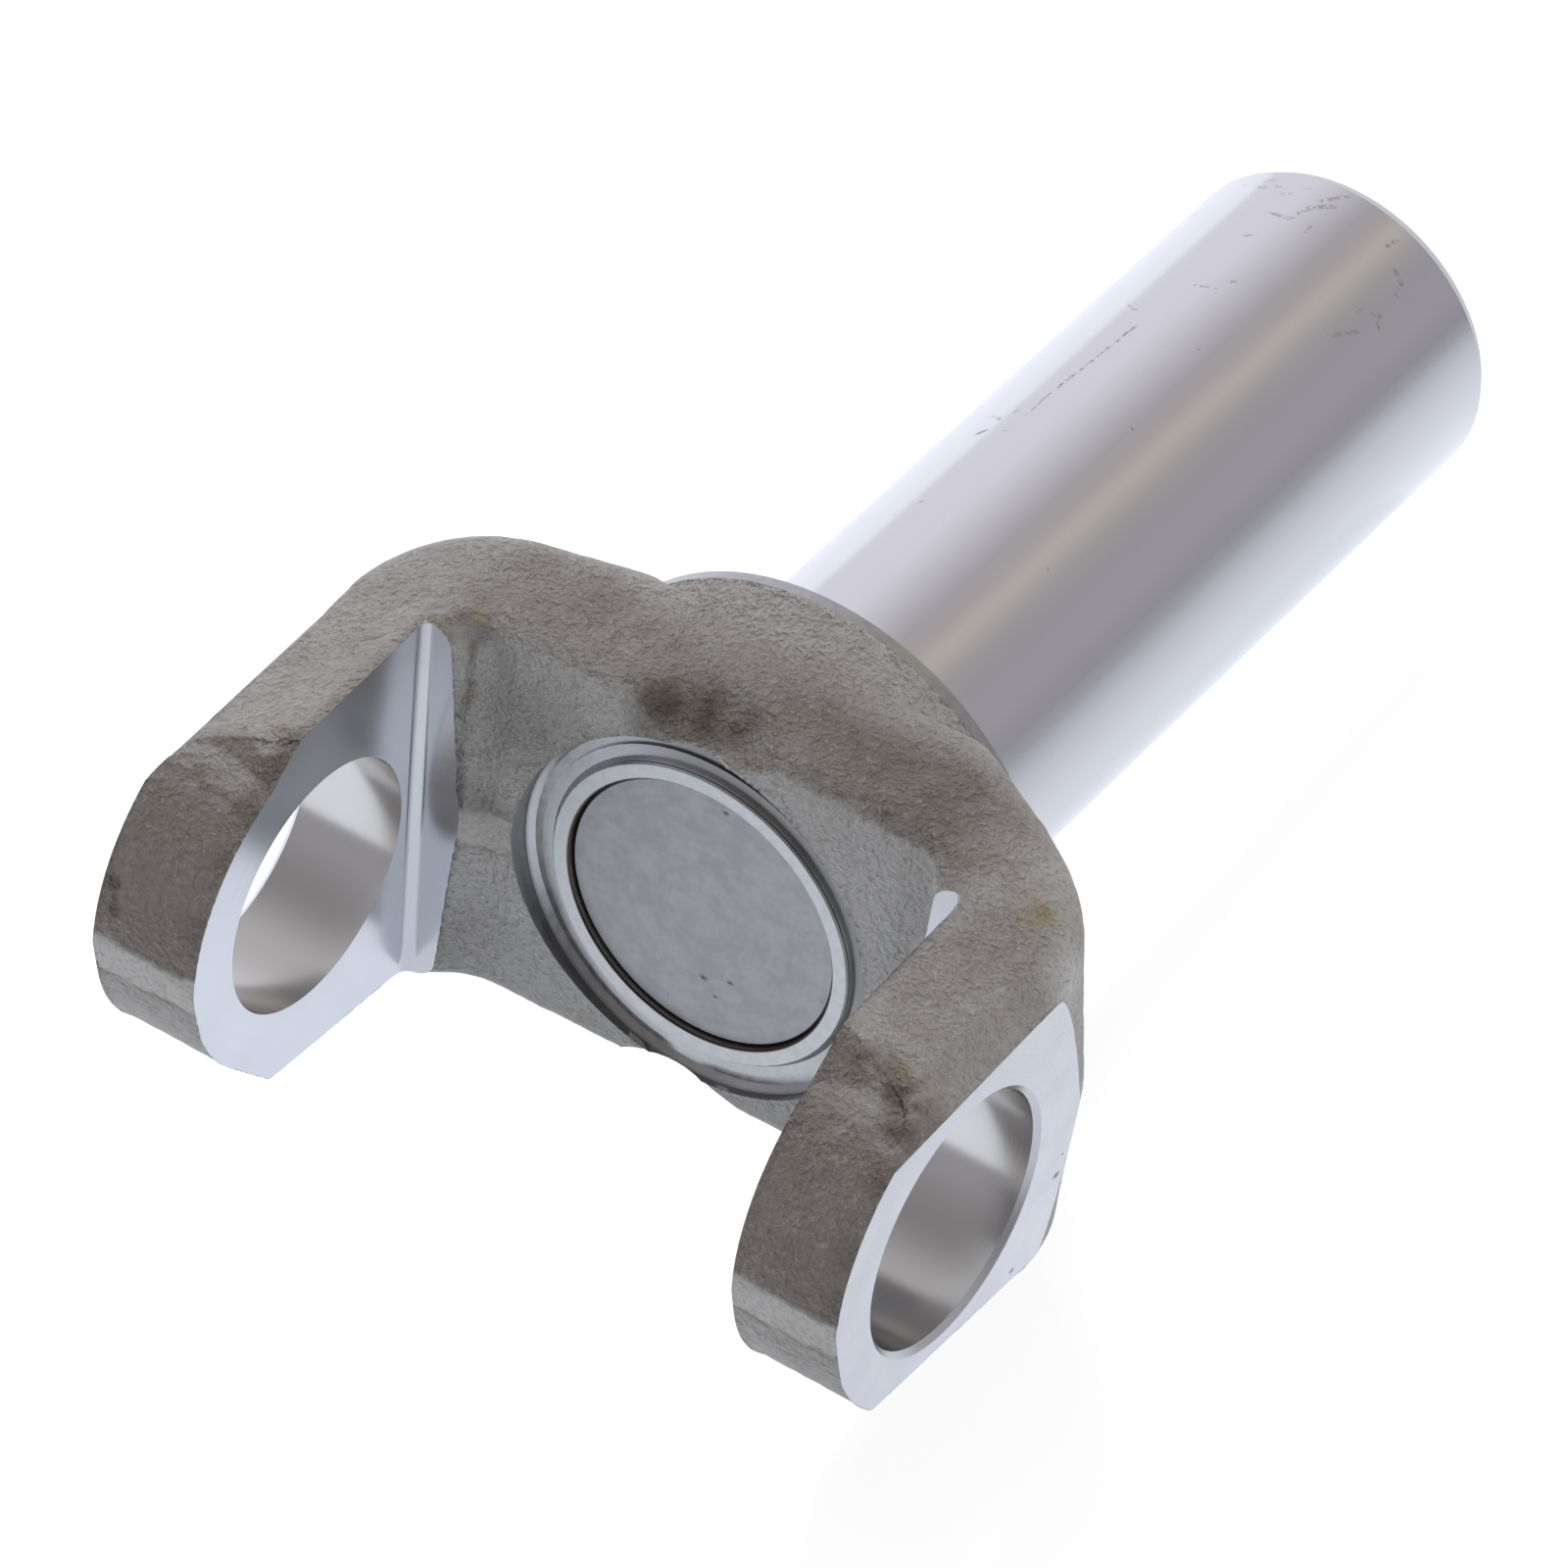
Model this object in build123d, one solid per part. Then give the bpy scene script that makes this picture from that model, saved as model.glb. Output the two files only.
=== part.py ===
from build123d import *
import math
import os

os.makedirs("parts", exist_ok=True)

# Slip yoke of a propeller shaft, in millimetres. The origin is where the axis of the cross bores
# meets the axis of the barrel. X runs along the cross bores and Y along the barrel, towards its
# open end. The parting plane of the forging is Z = 0, and the yoke lies on its side, ears level.

# Cross bores and the machined faces of the two ears
bore_d = 28.575
bore_edge_break = 0.6
ear_gap = 65.1
ear_span = 89.9
ear_face_end_y = 16.6
ear_face_root_r = 1.3

# Forged nose of each ear, as radii about the bore axis, its parting line, the draft under that
# line, and the corners where the top and the underside of the ear begin
nose_r_inside = 20.1
nose_r_middle = 21.2
nose_r_outside = 20.5
nose_r_below = 20.35
nose_parting_z = 1.8
nose_draft_deg = 12.0
top_corner_y = -3.8
top_corner_z = 22.9
under_corner_y = -6.2
under_corner_z = 22.4
under_corner_r = 3.0

# Forged saddle between the ears
saddle_half_width = 28.6
saddle_floor_y = 17.8
saddle_crown = 0.5
saddle_corner_r = 5.0
saddle_edge_r = 3.0

# Forged outside, seen from above on the parting plane
raw_half_span = 46.3
left_shoulder_r = 16.0
left_shoulder_y = 33.0
right_shoulder_r = 19.2
right_shoulder_y = 26.4
neck_back_y = 39.4
left_neck_x = 19.2
right_neck_x = 22.1
neck_corner_r = 9.0
draft_deg = 4.2

# Forged top and bottom faces
crown_top_z = 24.75
crown_under_z = 24.0
crown_at_y = 15.0
crown_rise_deg = 3.8
ear_fall_deg = 15.0
ear_fall_from_x = 28.0
ear_fall_blend = 5.0
outer_edge_r = 5.2

# Scoop through the middle of the saddle's edges, above and below, steeper on its left
scoop_left_r = 10.0
scoop_right_r = 24.0
scoop_x = -2.6
scoop_y = 20.9
scoop_z = 21.6
scoop_rise_deg = 32.0

# Hub and barrel
hub_r = 28.0
hub_front_r = 22.6
hub_front_y = 21.5
hub_turned_from_y = 39.6
hub_back_y = 41.3
hub_edge_break = 0.4
barrel_d = 38.1
barrel_end_y = 139.7
barrel_root_r = 2.5
barrel_chamfer = 0.8
barrel_chamfer_length = 1.4

# Turned pocket in the saddle, its collar, and the plug
pocket_r = 21.6
pocket_floor_y = 21.4
pocket_root = 0.7
pocket_step_r = 19.8
pocket_step = 0.3
collar_r = 18.1
collar_top_y = 20.3
collar_foot = 0.4
collar_edge_break = 0.2
plug_bore_r = 16.1
plug_bore_edge_break = 0.2
plug_clearance = 0.02
plug_top_y = 21.0
plug_thickness = 2.5
plug_edge_break = 0.35
plug_seat_width = 0.9

# Internal involute spline, its relief and its lead-in
spline_teeth = 27
spline_pitch_d = 28.575
spline_pressure_deg = 30.0
spline_minor_r = 13.76
spline_major_r = 15.0
spline_from_y = 38.0
spline_to_y = 130.0
lead_bore_r = 15.4
lead_chamfer = 1.2

# Reach of tools and stock past the finished surfaces
over = 3.0
stock_height = 34.0


def turned(*points):
    """A solid of revolution about Y from the (radius, y) points of its half section."""
    return revolve(make_face(Polyline(*points, close=True)), Axis.Y, 360)


def mirrored_in_z(solid):
    return mirror(solid, about=Plane.XY)


def forging_outline():
    """The U of the forging on its parting plane, with round shoulders that run back to the hub."""
    tip_y = -nose_r_middle - over
    body = make_face(
        Polyline(
            (-raw_half_span, tip_y),
            (raw_half_span, tip_y),
            (raw_half_span, right_shoulder_y),
            (right_neck_x, neck_back_y),
            (-left_neck_x, neck_back_y),
            (-raw_half_span, left_shoulder_y),
            close=True,
        )
    )
    right = body.vertices().filter_by(lambda v: v.X > right_neck_x + 1 and v.Y > 0)
    body = fillet(right, right_shoulder_r)
    left = body.vertices().filter_by(lambda v: v.X < -left_neck_x - 1 and v.Y > 0)
    body = fillet(left, left_shoulder_r)
    necks = body.vertices().filter_by(lambda v: abs(v.Y - neck_back_y) < 1e-6)
    body = fillet(necks, neck_corner_r)

    floor = ThreePointArc(
        (saddle_half_width, saddle_floor_y),
        (0, saddle_floor_y + saddle_crown),
        (-saddle_half_width, saddle_floor_y),
    )
    sides = Polyline(
        (-saddle_half_width, saddle_floor_y),
        (-saddle_half_width, tip_y - over),
        (saddle_half_width, tip_y - over),
        (saddle_half_width, saddle_floor_y),
    )
    saddle = make_face(Curve() + [floor, sides])
    corners = saddle.vertices().filter_by(lambda v: abs(v.Y - saddle_floor_y) < 1e-6)
    saddle = fillet(corners, saddle_corner_r)
    return body - saddle


def crown_prism(crown_z):
    """All that lies under the forging's top face, which rises to the hub and falls outwards."""
    blend_r = ear_fall_blend / math.sin(math.radians(ear_fall_deg))
    blend_x = ear_fall_from_x + ear_fall_blend
    far_x = raw_half_span + over
    middle = blend_r * (1 - math.cos(math.radians(ear_fall_deg / 2)))
    middle_x = ear_fall_from_x + blend_r * math.sin(math.radians(ear_fall_deg / 2))
    blend_drop = blend_r * (1 - math.cos(math.radians(ear_fall_deg)))
    far_drop = blend_drop + (far_x - blend_x) * math.tan(math.radians(ear_fall_deg))
    start_y = -nose_r_middle - 2 * over
    rise = math.tan(math.radians(crown_rise_deg))
    top = crown_z + (start_y - crown_at_y) * rise

    edge = Curve()
    edge += Line((-ear_fall_from_x, top), (ear_fall_from_x, top))
    for side in (-1, 1):
        edge += ThreePointArc(
            (side * ear_fall_from_x, top),
            (side * middle_x, top - middle),
            (side * blend_x, top - blend_drop),
        )
        edge += Line((side * blend_x, top - blend_drop), (side * far_x, top - far_drop))
    edge += Polyline(
        (far_x, top - far_drop),
        (far_x, -stock_height),
        (-far_x, -stock_height),
        (-far_x, top - far_drop),
    )
    plane = Plane(origin=(0, start_y, 0), x_dir=(1, 0, 0), z_dir=(0, -1, 0))
    length = neck_back_y + 2 * over - start_y
    return extrude(plane * make_face(edge), amount=length * math.hypot(1, rise), dir=(0, 1, rise))


def tangent_point(corner_y, corner_z, radius):
    """Where a line from a corner above the nose touches a circle about the bore axis."""
    distance = math.hypot(corner_y, corner_z)
    angle = math.atan2(corner_z, corner_y) + math.acos(radius / distance)
    return (radius * math.cos(angle), radius * math.sin(angle))


def nose_barrel():
    """The barrel shape of both noses, turned about the bore axis."""
    inside_x = ear_gap / 2 - over
    outside_x = ear_span / 2 + over
    edge = Curve()
    edge += ThreePointArc(
        (inside_x, nose_r_inside),
        ((inside_x + outside_x) / 2, nose_r_middle),
        (outside_x, nose_r_outside),
    )
    edge += Polyline((outside_x, nose_r_outside), (outside_x, 0), (inside_x, 0), (inside_x, nose_r_inside))
    barrel = revolve(make_face(edge), Axis.X, 360)
    return barrel + mirror(barrel, about=Plane.YZ)


def across_the_ears(side_view):
    """Extrudes a face drawn in Y and Z right across both ears."""
    half = raw_half_span + over
    plane = Plane(origin=(-half, 0, 0), x_dir=(0, 1, 0), z_dir=(1, 0, 0))
    return extrude(plane * side_view, amount=2 * half)


def nose_envelope():
    """What the nose dies leave: the noses above and under their parting line, and all behind."""
    back_y = neck_back_y + 2 * over
    upper_touch = tangent_point(top_corner_y, top_corner_z, nose_r_inside)
    behind_top = make_face(
        Polyline(
            (0, nose_parting_z),
            upper_touch,
            (top_corner_y, top_corner_z),
            (top_corner_y, stock_height),
            (back_y, stock_height),
            (back_y, nose_parting_z),
            close=True,
        )
    )
    far_y = -nose_r_middle - over
    above = make_face(
        Polyline((0, nose_parting_z), (far_y, nose_parting_z), (far_y, stock_height), (0, stock_height), close=True)
    )
    barrel = nose_barrel()
    upper = across_the_ears(behind_top) + (barrel & across_the_ears(above))

    draft = math.radians(nose_draft_deg)
    foot_y = -nose_r_below * math.cos(draft)
    foot_z = -nose_r_below * math.sin(draft)
    front_y = foot_y - (nose_parting_z - foot_z) * math.tan(draft)
    lower_touch = tangent_point(under_corner_y, under_corner_z, nose_r_below)
    middle_angle = (draft + math.atan2(lower_touch[1], -lower_touch[0])) / 2
    middle = (-nose_r_below * math.cos(middle_angle), -nose_r_below * math.sin(middle_angle))
    edge = Curve()
    edge += Polyline((0, nose_parting_z), (front_y, nose_parting_z), (foot_y, foot_z))
    edge += ThreePointArc((foot_y, foot_z), middle, (lower_touch[0], -lower_touch[1]))
    edge += Polyline(
        (lower_touch[0], -lower_touch[1]),
        (under_corner_y, -under_corner_z),
        (0, -under_corner_z),
        (0, nose_parting_z),
    )
    below = make_face(edge)
    corner = below.vertices().filter_by(lambda v: abs(v.X - under_corner_y) < 1e-6)
    below = fillet(corner, under_corner_r)
    behind_y = under_corner_y + under_corner_r
    behind = make_face(
        Polyline(
            (behind_y, nose_parting_z),
            (back_y, nose_parting_z),
            (back_y, -stock_height),
            (behind_y, -stock_height),
            close=True,
        )
    )
    past_touch = make_face(
        Polyline(
            (lower_touch[0], nose_parting_z),
            (0, nose_parting_z),
            (0, -stock_height),
            (lower_touch[0], -stock_height),
            close=True,
        )
    )
    lower = across_the_ears(below) & (barrel + across_the_ears(past_touch))
    return upper + lower + across_the_ears(behind)


def forging():
    """The raw forging: drafted both ways from the parting plane, with its rounded edges."""
    outline = forging_outline()
    upper = extrude(outline, amount=stock_height, taper=draft_deg)
    blank = upper + mirrored_in_z(upper)
    blank = blank & crown_prism(crown_top_z) & mirrored_in_z(crown_prism(crown_under_z))

    def on_rim(edge):
        box = edge.bounding_box()
        along_y = box.size.X < 1e-6
        return abs(edge.center().Z) > hub_r / 2 and box.size.Z < hub_r / 2 and not along_y

    def in_saddle(edge):
        middle = edge @ 0.5
        reach = saddle_floor_y + saddle_crown + saddle_edge_r
        return abs(middle.X) < ear_gap / 2 and middle.Y < reach

    rim = blank.edges().filter_by(on_rim).filter_by(lambda e: (e @ 0.5).Y > -nose_r_middle)
    blank = fillet(rim.filter_by(in_saddle), saddle_edge_r)
    rim = blank.edges().filter_by(on_rim).filter_by(lambda e: (e @ 0.5).Y > -nose_r_middle)
    blank = fillet(rim.filter_by(lambda e: not in_saddle(e)), outer_edge_r)
    return blank & nose_envelope()


def scoop():
    """Groove that rises backwards out of the pocket, through the saddle's upper edge."""
    rise = math.radians(scoop_rise_deg)
    plane = Plane(
        origin=(scoop_x, scoop_y, scoop_z),
        x_dir=(1, 0, 0),
        z_dir=(0, -math.cos(rise), -math.sin(rise)),
    )
    reach = math.sqrt(0.5)
    left, right = scoop_left_r, scoop_right_r
    edge = Curve()
    edge += ThreePointArc((-left, left), (-left * reach, left * (1 - reach)), (0, 0))
    edge += ThreePointArc((0, 0), (right * reach, right * (1 - reach)), (right, right))
    edge += Line((right, right), (-left, left))
    return extrude(plane * make_face(edge), amount=stock_height, both=True)


def hub_and_barrel(forged):
    """Adds the hub, the barrel and the round between them, and scoops the saddle's edges."""
    hub = turned(
        (0, hub_front_y),
        (hub_front_r, hub_front_y),
        (hub_r, hub_turned_from_y),
        (hub_r, hub_back_y - hub_edge_break),
        (hub_r - hub_edge_break, hub_back_y),
        (0, hub_back_y),
    )
    barrel_r = barrel_d / 2
    barrel = turned(
        (0, hub_front_y),
        (barrel_r, hub_front_y),
        (barrel_r, barrel_end_y - barrel_chamfer_length),
        (barrel_r - barrel_chamfer, barrel_end_y),
        (0, barrel_end_y),
    )
    joined = forged + hub + barrel - scoop() - mirrored_in_z(scoop())

    def at_root(edge):
        return abs(edge.center().Y - hub_back_y) < 1e-6 and abs(edge.radius - barrel_r) < 1e-6

    return fillet(joined.edges().filter_by(GeomType.CIRCLE).filter_by(at_root), barrel_root_r)


def ear_faces_and_bores(yoke):
    """Machines the ears: inside faces with a round root, outside faces and the cross bores."""
    tip_y = -nose_r_middle - over
    height = 2 * stock_height
    depth = ear_face_end_y - tip_y
    slot = Pos(0, tip_y + depth / 2, 0) * Box(ear_gap, depth, height)
    roots = slot.edges().filter_by(Axis.Z).filter_by(lambda e: e.center().Y > 0)
    yoke -= fillet(roots, ear_face_root_r)
    for side in (-1, 1):
        waste = Pos(side * (ear_span / 2 + stock_height), 0, 0)
        yoke -= waste * Box(2 * stock_height, 4 * stock_height, height)
    bore_r = bore_d / 2
    half_span = ear_span / 2
    section = Polyline(
        (-half_span, 0),
        (-half_span, bore_r + bore_edge_break),
        (-half_span + bore_edge_break, bore_r),
        (half_span - bore_edge_break, bore_r),
        (half_span, bore_r + bore_edge_break),
        (half_span, 0),
        close=True,
    )
    return yoke - revolve(make_face(section), Axis.X, 360)


def pocket_and_collar(yoke):
    """Turns the pocket in the saddle, down to its stepped floor, and leaves the plug's collar."""
    step_floor_y = pocket_floor_y - pocket_step
    return yoke - turned(
        (0, 0),
        (pocket_r, 0),
        (pocket_r, pocket_floor_y - pocket_root),
        (pocket_r - pocket_root, pocket_floor_y),
        (pocket_step_r, pocket_floor_y),
        (pocket_step_r, step_floor_y),
        (collar_r + collar_foot, step_floor_y),
        (collar_r, step_floor_y - collar_foot),
        (collar_r, collar_top_y + collar_edge_break),
        (collar_r - collar_edge_break, collar_top_y),
        (0, collar_top_y),
    )


def space_half_angle(radius):
    """Half the angle between the flanks of two neighbouring spline teeth, at a radius."""
    pitch_r = spline_pitch_d / 2
    pressure = math.radians(spline_pressure_deg)
    at_radius = math.acos(pitch_r * math.cos(pressure) / radius)
    widening = math.tan(pressure) - pressure - math.tan(at_radius) + at_radius
    return math.pi / (2 * spline_teeth) + widening


def on_circle(radius, angle):
    return (radius * math.cos(angle), radius * math.sin(angle))


def splined_hole():
    """The splined part of the barrel's hole, with involute flanks, as a tool to cut it."""
    radii = (spline_minor_r, spline_pitch_d / 2, spline_major_r)
    halves = [space_half_angle(radius) for radius in radii]
    pitch = 2 * math.pi / spline_teeth
    outline = []
    for number in range(spline_teeth):
        middle = number * pitch
        rising = [on_circle(r, middle - half) for r, half in zip(radii, halves)]
        falling = [on_circle(r, middle + half) for r, half in zip(radii, halves)]
        crest = on_circle(spline_minor_r, middle + pitch / 2)
        next_foot = on_circle(spline_minor_r, middle + pitch - halves[0])
        outline.append(ThreePointArc(*rising))
        outline.append(ThreePointArc(rising[2], on_circle(spline_major_r, middle), falling[2]))
        outline.append(ThreePointArc(falling[2], falling[1], falling[0]))
        outline.append(ThreePointArc(falling[0], crest, next_foot))
    plane = Plane(origin=(0, spline_from_y - over, 0), x_dir=(1, 0, 0), z_dir=(0, 1, 0))
    return extrude(plane * make_face(outline), amount=spline_to_y - spline_from_y + over)


def barrel_hole(yoke):
    """Bores the barrel from both ends, the plug's seat included, and cuts its spline."""
    seat_y = plug_top_y + plug_thickness
    relief_r = plug_bore_r - plug_seat_width
    yoke -= turned(
        (0, 0),
        (plug_bore_r + plug_bore_edge_break, 0),
        (plug_bore_r + plug_bore_edge_break, collar_top_y),
        (plug_bore_r, collar_top_y + plug_bore_edge_break),
        (plug_bore_r, seat_y),
        (relief_r, seat_y),
        (relief_r, spline_from_y),
        (0, spline_from_y),
    )
    yoke -= splined_hole()
    lead_depth = lead_bore_r - spline_minor_r
    return yoke - turned(
        (0, spline_to_y - lead_depth),
        (spline_minor_r, spline_to_y - lead_depth),
        (lead_bore_r, spline_to_y),
        (lead_bore_r, barrel_end_y - lead_chamfer),
        (lead_bore_r + lead_chamfer, barrel_end_y),
        (0, barrel_end_y),
    )


def expansion_plug():
    """The pressed disc that closes the barrel's hole, seated on the ledge inside the collar."""
    radius = plug_bore_r - plug_clearance
    bottom_y = plug_top_y + plug_thickness
    return turned(
        (0, plug_top_y),
        (0, bottom_y),
        (radius, bottom_y),
        (radius, plug_top_y + plug_edge_break),
        (radius - plug_edge_break, plug_top_y),
    )


yoke_forging = forging()
yoke_forging = hub_and_barrel(yoke_forging)
yoke_forging = ear_faces_and_bores(yoke_forging)
yoke_forging = pocket_and_collar(yoke_forging)
yoke_forging = barrel_hole(yoke_forging)
export_step(yoke_forging, "parts/yoke_forging.step")
export_step(expansion_plug(), "parts/expansion_plug.step")
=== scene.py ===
"""Looks for a driveshaft slip yoke: forged skin, machined faces, ground barrel and pressed plug.

The CAD nodes stay as they are. The forging is shown by a copy of its mesh, made finer over the raw
skin so that the skin can be uneven, while every machined face keeps the CAD surface exactly.
"""

import math

import bmesh
import bpy
import numpy as np
from mathutils import Matrix, Vector, noise

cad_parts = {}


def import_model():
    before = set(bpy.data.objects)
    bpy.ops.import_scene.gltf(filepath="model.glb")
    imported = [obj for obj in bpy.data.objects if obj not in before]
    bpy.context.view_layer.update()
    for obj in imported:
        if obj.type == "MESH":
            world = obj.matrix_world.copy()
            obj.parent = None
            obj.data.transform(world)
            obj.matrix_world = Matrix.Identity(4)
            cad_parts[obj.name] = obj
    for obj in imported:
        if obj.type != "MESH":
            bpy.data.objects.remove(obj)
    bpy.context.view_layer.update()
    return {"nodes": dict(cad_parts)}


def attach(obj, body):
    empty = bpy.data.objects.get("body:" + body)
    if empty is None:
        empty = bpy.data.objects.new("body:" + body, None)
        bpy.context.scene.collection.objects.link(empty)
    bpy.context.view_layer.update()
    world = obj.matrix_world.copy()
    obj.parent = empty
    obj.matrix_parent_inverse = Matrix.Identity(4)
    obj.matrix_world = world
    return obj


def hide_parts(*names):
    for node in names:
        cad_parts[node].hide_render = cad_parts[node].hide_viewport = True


MM = 0.001

# the photograph's camera in the part's own frame: degrees, millimetres and pixels
azimuth = 31.362
elevation = 42.134
roll = 4.88
camera_distance = 1107.878
focal_px = 11397.814
centre_x = -20.079
centre_y = -23.931
photo_px = 1600
sensor = 36.0

# sizes of the machined faces, in millimetres, as in the CAD
ear_outer_x = 44.95
ear_inner_x = 32.55
ear_root_r = 1.3
ear_step_y = 16.6
bore_r = 14.2875
bore_break = 0.6
pocket_r = 21.6
pocket_from_y = 17.5
hub_r = 28.0
hub_turned_from_y = 39.6
hub_back_y = 41.3
barrel_r = 19.05
barrel_root_r = 2.5
barrel_chamfer_from_y = 138.3
barrel_end_y = 139.7
hole_r = 17.0
plug_r = 16.08
plug_top_y = 21.0

# the raw skin: how finely it is meshed, how uneven it is, and the angles at which an edge is
# sharp, may be turned, or would fold; in millimetres, degrees and a cosine
skin_edge = 0.7
skin_merge = 0.3
refine_passes = 9
skin_inset = 0.12
border_slide = 0.45
sharp_deg = 38
turn_deg = 12
fold_limit = 0.8
parting_z = 1.8
flash_low_z = -3.2

# hollows that the dies left in the skin: place, reach across it and depth, in millimetres
die_hollows = (
    ((-35.6, -4.6, 22.0), 2.5, 1.1),
    ((-33.6, -4.2, 22.2), 1.8, 0.6),
    ((37.6, -4.8, 21.8), 2.6, 0.6),
    ((39.8, -5.8, 20.8), 2.8, 0.9),
    ((41.6, -7.2, 19.8), 3.0, 1.0),
    ((42.8, -9.4, 18.2), 2.8, 0.7),
    ((-43.8, -19.4, 7.9), 1.3, 0.6),
    ((-43.0, -20.3, 5.5), 1.3, 0.55),
    ((-40.5, -17.0, 9.0), 3.5, 0.25),
    ((38.0, -16.5, 12.0), 4.5, 0.3),
    ((-15.0, 21.0, 24.6), 4.0, 0.35),
    ((-19.5, 20.2, 24.4), 3.0, 0.3),
    ((16.0, 19.0, 24.0), 4.0, 0.3),
)

# upright coves in the corners of the saddle, above the parting line
cove_x = 27.0
cove_width = 4.2
cove_depth = 0.8
cove_top_z = 23.6

# how the part lies: on the hub's rim and the end of the barrel
floor_tilt = math.atan2(hub_r - barrel_r, barrel_end_y - hub_back_y)

SKIN, MILLED, FACED, BORED, GROUND, TURNED, BROACHED, EDGE = range(8)


def smooth(low, high, value):
    """0 below low, 1 above high and smooth between; high may be the smaller."""
    t = np.clip((np.asarray(value, float) - low) / (high - low), 0.0, 1.0)
    return t * t * (3 - 2 * t)


def near(points, spot, reach):
    """1 at the spot, falling smoothly to 0 at the reach, in millimetres."""
    away = np.linalg.norm(np.asarray(points) - np.array(spot), axis=-1)
    return 1 - smooth(0.0, reach, away)


# the shown mesh


def region(centre, normal):
    """Which finish a facet of the forging has, from its place and direction."""
    x, y, z = centre
    from_barrel = math.hypot(x, z)
    from_bore = math.hypot(y, z)
    outward = (normal[0] * x + normal[2] * z) / max(from_barrel, 1e-6)
    if abs(x) > ear_outer_x - 0.02 and abs(normal[0]) > 0.99:
        return MILLED
    if from_bore < bore_r + bore_break + 0.03 and abs(x) > ear_inner_x - 0.02:
        return EDGE if abs(normal[0]) > 0.3 else BORED
    if y < ear_step_y + 0.02 and ear_inner_x - ear_root_r - 0.05 < abs(x) < ear_inner_x + 0.03:
        return FACED
    if abs(y - ear_step_y) < 0.03 and normal[1] < -0.99:
        return FACED
    if y > hub_back_y + 0.05:
        if from_barrel < hole_r + 0.4 and outward < 0.1 and abs(normal[1]) < 0.9:
            return BROACHED
        flat = abs(normal[1]) < 0.02
        middle = hub_back_y + barrel_root_r < y < barrel_chamfer_from_y
        return GROUND if flat and middle and outward > 0 else TURNED
    if from_barrel < hole_r - 0.7 and y > plug_top_y:
        return BROACHED
    if from_barrel < pocket_r + 0.08 and pocket_from_y < y < 26:
        return TURNED if from_barrel < pocket_r - 0.1 or outward < -0.9 else SKIN
    if y > hub_turned_from_y - 0.05 and from_barrel > barrel_r:
        return TURNED
    return SKIN


def marked_mesh(node):
    """A welded copy of a CAD node's mesh with each facet's finish as its material."""
    bm = bmesh.new()
    bm.from_mesh(node.data)
    bmesh.ops.remove_doubles(bm, verts=bm.verts, dist=1e-6)
    bmesh.ops.dissolve_degenerate(bm, edges=bm.edges, dist=1e-6)
    bm.normal_update()
    for face in bm.faces:
        face.material_index = region(face.calc_center_median() / MM, face.normal)
        face.smooth = True
    for edge in bm.edges:
        faces = edge.link_faces
        turns = len(faces) == 2 and edge.calc_face_angle(0.0) > math.radians(sharp_deg)
        differs = len({face.material_index for face in faces}) > 1
        edge.smooth = not (turns or differs)
    return bm


def is_raw(vert):
    return all(face.material_index == SKIN for face in vert.link_faces)


def split_long(bm, longest):
    """Halves the long edges of the raw skin; tells whether there were any."""
    long_edges = [
        edge
        for edge in bm.edges
        if edge.calc_length() > longest
        and any(face.material_index == SKIN for face in edge.link_faces)
    ]
    bmesh.ops.subdivide_edges(bm, edges=long_edges, cuts=1)
    many_sided = [face for face in bm.faces if len(face.verts) > 3]
    bmesh.ops.triangulate(bm, faces=many_sided, quad_method="SHORT_EDGE", ngon_method="BEAUTY")
    return bool(long_edges)


def turn_edges(bm):
    """Turns inner edges of the raw skin where that makes better shaped facets."""
    faces = [face for face in bm.faces if face.material_index == SKIN]
    edges = [
        edge
        for edge in bm.edges
        if edge.smooth
        and all(face.material_index == SKIN for face in edge.link_faces)
        and edge.calc_face_angle(0.0) < math.radians(turn_deg)
    ]
    bmesh.ops.beautify_fill(bm, faces=faces, edges=edges, method="ANGLE")


def would_fold(goer, stayer):
    """Whether a facet would turn over or vanish if one vertex moved onto the other."""
    for face in goer.link_faces:
        if stayer in face.verts:
            continue
        a, b, c = (stayer.co if vert is goer else vert.co for vert in face.verts)
        normal = (b - a).cross(c - a)
        if normal.length < 1e-12 or normal.normalized().dot(face.normal) < fold_limit:
            return True
    return False


def neighbours(vert):
    return {edge.other_vert(vert) for edge in vert.link_edges}


def weld_short(bm, shortest):
    """Welds the ends of short edges of the raw skin, where no facet folds."""
    bm.normal_update()
    short = [edge for edge in bm.edges if edge.smooth and edge.calc_length() < shortest]
    short.sort(key=lambda edge: edge.calc_length())
    taken = set()
    onto = {}
    for edge in short:
        goer, stayer = edge.verts
        if not is_raw(goer):
            goer, stayer = stayer, goer
        touched = {vert for end in (goer, stayer) for face in end.link_faces for vert in face.verts}
        if not is_raw(goer) or touched & taken:
            continue
        shared = neighbours(goer) & neighbours(stayer)
        if len(shared) == 2 and not would_fold(goer, stayer):
            onto[goer] = stayer
            taken |= touched
    bmesh.ops.weld_verts(bm, targetmap=onto)


def refine_skin(bm, longest, shortest):
    """Makes the raw skin's facets about as large as each other, and small."""
    for _ in range(refine_passes):
        weld_short(bm, shortest)
        turn_edges(bm)
        if not split_long(bm, longest):
            break
    turn_edges(bm)


def rough(point, size, seed):
    """Smooth noise of about -1 to 1 whose bumps are about size millimetres wide."""
    return noise.noise(Vector(point) / size + Vector((seed, seed * 1.7, -seed)))


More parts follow.
